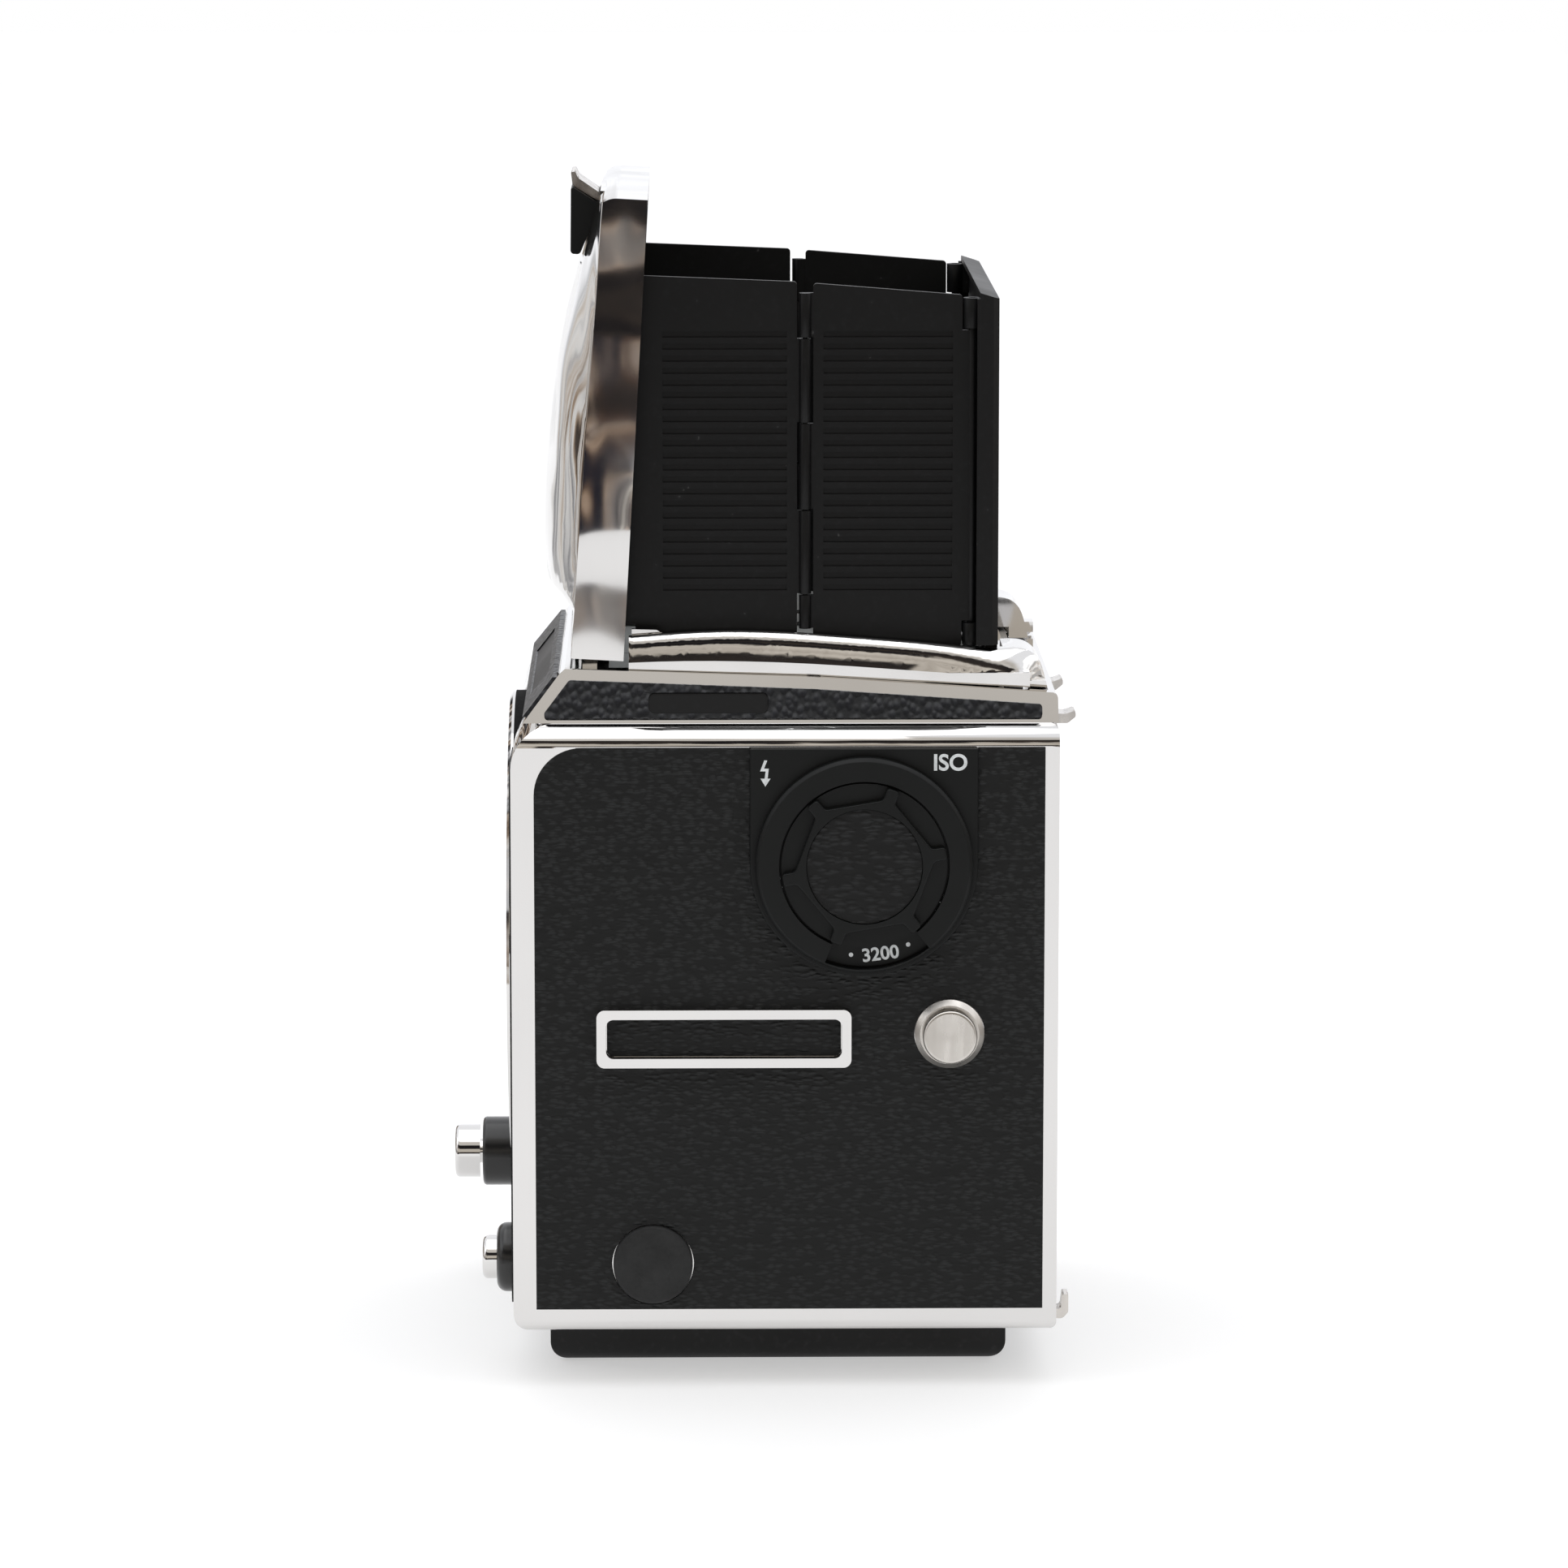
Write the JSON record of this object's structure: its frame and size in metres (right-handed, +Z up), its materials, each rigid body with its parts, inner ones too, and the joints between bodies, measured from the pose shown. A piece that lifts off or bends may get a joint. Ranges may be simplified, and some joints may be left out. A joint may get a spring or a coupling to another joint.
{
  "type": "medium format single-lens reflex camera body",
  "caption": "Cube-shaped reflex camera body with a folding waist-level finder, winding crank, swinging mirror and film-speed dial, without lens or film magazine.",
  "frame": {"origin": "centre of the small tripod thread on the underside of the foot", "axes": "+Z up, -Y out of the lens mount, +X the viewer's left side, which carries the film-speed dial"},
  "size_m": [0.0998, 0.0882, 0.1646],
  "materials": {
    "chrome": "polished chrome plate",
    "nickel": "brushed nickel plate",
    "steel": "brushed steel",
    "leather": "black wrinkle-grain covering",
    "black_paint": "satin black enamel",
    "black_matte": "matte black anti-reflection paint",
    "black_plastic": "fine-textured black plastic",
    "rubber": "matte black rubber",
    "brass": "machined brass",
    "mirror": "silvered glass",
    "glass": "clear polished glass",
    "ground_glass": "fine ground focusing surface"
  },
  "bodies": {
    "camera_body": {"body_shell": "chrome", "lens_bezel": "chrome", "top_frame": "chrome", "accessory_rail": "chrome", "strap_lugs": "nickel", "magazine_hooks": "nickel", "bayonet_ring": "steel", "bayonet_screws": "steel", "box_pins": "steel", "foot_screws": "steel", "gear_plate": "steel", "screen_frame": "steel", "left_leather": "leather", "right_leather": "leather", "front_leather": "leather", "frame_trims": "leather", "blank_panels": "black_paint", "foot_block": "black_paint", "foot_flange": "black_paint", "mirror_box": "black_matte", "light_frame": "black_matte", "front_plate": "black_matte", "iso_plate": "black_plastic", "dial_ring": "black_plastic", "button_collars": "black_plastic", "crank_collar": "black_plastic", "flash_socket": "black_plastic", "focusing_screen": "ground_glass"},
    "mirror": {"mirror_frame": "black_matte", "mirror_glass": "mirror"},
    "upper_flap": {"upper_flap": "black_matte"},
    "lower_flap": {"lower_flap": "black_matte"},
    "crank": {"crank_gear": "brass", "spring_barrel": "steel", "crank_hub": "chrome", "crank_arm": "chrome"},
    "crank_handle": {"handle_pin": "nickel"},
    "crank_knob": {"crank_knob": "black_plastic"},
    "idler": {"idler_gear": "brass"},
    "magazine_gear": {"magazine_drive_gear": "brass"},
    "lens_shaft": {"lens_drive_shaft": "steel"},
    "shutter_button": {"release_button": "chrome"},
    "lens_button": {"lens_release_button": "chrome"},
    "mirror_lever": {"mirror_release_lever": "steel"},
    "film_speed_dial": {"iso_scale": "black_plastic", "iso_knob": "black_plastic", "dial_leather": "leather"},
    "flash_cap": {"flash_plug": "rubber"},
    "finder": {"finder_base": "chrome", "finder_pins": "steel", "lid": "chrome", "hood_rear_wall": "black_paint"},
    "magnifier": {"magnifier_arm": "black_paint", "magnifier_lens": "glass"},
    "magnifier_catch": {"catch_bracket": "nickel", "catch_grip": "black_plastic"},
    "left_rear_fold": {"left_rear_panel": "black_paint"},
    "left_front_fold": {"left_front_panel": "black_paint"},
    "right_rear_fold": {"right_rear_panel": "black_paint"},
    "right_front_fold": {"right_front_panel": "black_paint"}
  },
  "joints": [
    {"name": "finder_slide", "type": "slide", "parent": "camera_body", "child": "finder", "axis": [0, 1, 0], "range_m": [0, 0.07]},
    {"name": "left_panel_fold", "type": "hinge", "parent": "finder", "child": "left_rear_fold", "pos_m": [0.02885, 0.0257, 0.125], "axis": [0, 0, -1], "range_deg": [0, 88], "stiffness_Nm_per_rad": 0.004, "springref_deg": -5.73},
    {"name": "left_panel_middle", "type": "hinge", "parent": "left_rear_fold", "child": "left_front_fold", "pos_m": [0.0294, 0.0029, 0.125], "axis": [0, 0, 1], "range_deg": [0, 176]},
    {"name": "right_panel_fold", "type": "hinge", "parent": "finder", "child": "right_rear_fold", "pos_m": [-0.02885, 0.0257, 0.125], "axis": [0, 0, 1], "range_deg": [0, 88], "stiffness_Nm_per_rad": 0.004, "springref_deg": -5.73},
    {"name": "right_panel_middle", "type": "hinge", "parent": "right_rear_fold", "child": "right_front_fold", "pos_m": [-0.0294, 0.0029, 0.125], "axis": [0, 0, -1], "range_deg": [0, 176]},
    {"name": "magnifier_flip", "type": "hinge", "parent": "finder", "child": "magnifier", "pos_m": [0, -0.02176, 0.1568], "axis": [-1, 0, 0], "range_deg": [-86.8, 0]},
    {"name": "magnifier_catch_slide", "type": "slide", "parent": "finder", "child": "magnifier_catch", "axis": [1, 0, 0], "range_m": [0, 0.003], "stiffness_N_per_m": 200, "springref_m": -0.001},
    {"name": "film_speed_turn", "type": "hinge", "parent": "camera_body", "child": "film_speed_dial", "pos_m": [0.042, 0.0107, 0.0732], "axis": [1, 0, 0], "range_deg": [-230, 40]},
    {"name": "shutter_press", "type": "slide", "parent": "camera_body", "child": "shutter_button", "axis": [0, 1, 0], "range_m": [0, 0.0025], "stiffness_N_per_m": 600, "springref_m": -0.001},
    {"name": "lens_release_press", "type": "slide", "parent": "camera_body", "child": "lens_button", "axis": [0, 1, 0], "range_m": [0, 0.002], "stiffness_N_per_m": 800, "springref_m": -0.001},
    {"name": "flash_plug_pull", "type": "slide", "parent": "camera_body", "child": "flash_cap", "axis": [1, 0, 0], "range_m": [0, 0.012]},
    {"name": "mirror_lever_turn", "type": "hinge", "parent": "camera_body", "child": "mirror_lever", "pos_m": [-0.042, -0.014, 0.02], "axis": [1, 0, 0], "range_deg": [0, 40]},
    {"name": "crank_turn", "type": "hinge", "parent": "camera_body", "child": "crank", "pos_m": [-0.042, 0, 0.042], "axis": [1, 0, 0], "continuous": true},
    {"name": "crank_handle_fold", "type": "hinge", "parent": "crank", "child": "crank_handle", "pos_m": [-0.0515, 0, 0.068], "axis": [0, 1, 0], "range_deg": [0, 90]},
    {"name": "crank_knob_spin", "type": "hinge", "parent": "crank_handle", "child": "crank_knob", "pos_m": [-0.0515, 0, 0.057], "axis": [0, 0, 1], "continuous": true},
    {"name": "idler_turn", "type": "hinge", "parent": "camera_body", "child": "idler", "pos_m": [-0.0357, 0.01509, 0.0274], "axis": [1, 0, 0], "continuous": true},
    {"name": "magazine_gear_turn", "type": "hinge", "parent": "camera_body", "child": "magazine_gear", "pos_m": [-0.0357, 0.03175, 0.024], "axis": [1, 0, 0], "continuous": true},
    {"name": "lens_shaft_turn", "type": "hinge", "parent": "camera_body", "child": "lens_shaft", "pos_m": [0, -0.033, 0.0269], "axis": [0, 1, 0], "continuous": true},
    {"name": "mirror_swing", "type": "hinge", "parent": "camera_body", "child": "mirror", "pos_m": [0, 0.0312, 0.0884], "axis": [-1, 0, 0], "range_deg": [0, 45]},
    {"name": "upper_flap_swing", "type": "hinge", "parent": "camera_body", "child": "upper_flap", "pos_m": [0, 0.033, 0.0865], "axis": [-1, 0, 0], "range_deg": [0, 90]},
    {"name": "lower_flap_swing", "type": "hinge", "parent": "camera_body", "child": "lower_flap", "pos_m": [0, 0.033, 0.0305], "axis": [1, 0, 0], "range_deg": [0, 90]}
  ],
  "couplings": [
    {"joint": "left_panel_middle", "follows": "left_panel_fold", "ratio": 2},
    {"joint": "right_panel_middle", "follows": "right_panel_fold", "ratio": 2},
    {"joint": "idler_turn", "follows": "crank_turn", "ratio": -0.90909},
    {"joint": "magazine_gear_turn", "follows": "crank_turn", "ratio": 1.6667},
    {"joint": "lens_shaft_turn", "follows": "crank_turn", "ratio": 1},
    {"joint": "upper_flap_swing", "follows": "mirror_swing", "ratio": 2},
    {"joint": "lower_flap_swing", "follows": "mirror_swing", "ratio": 2}
  ]
}
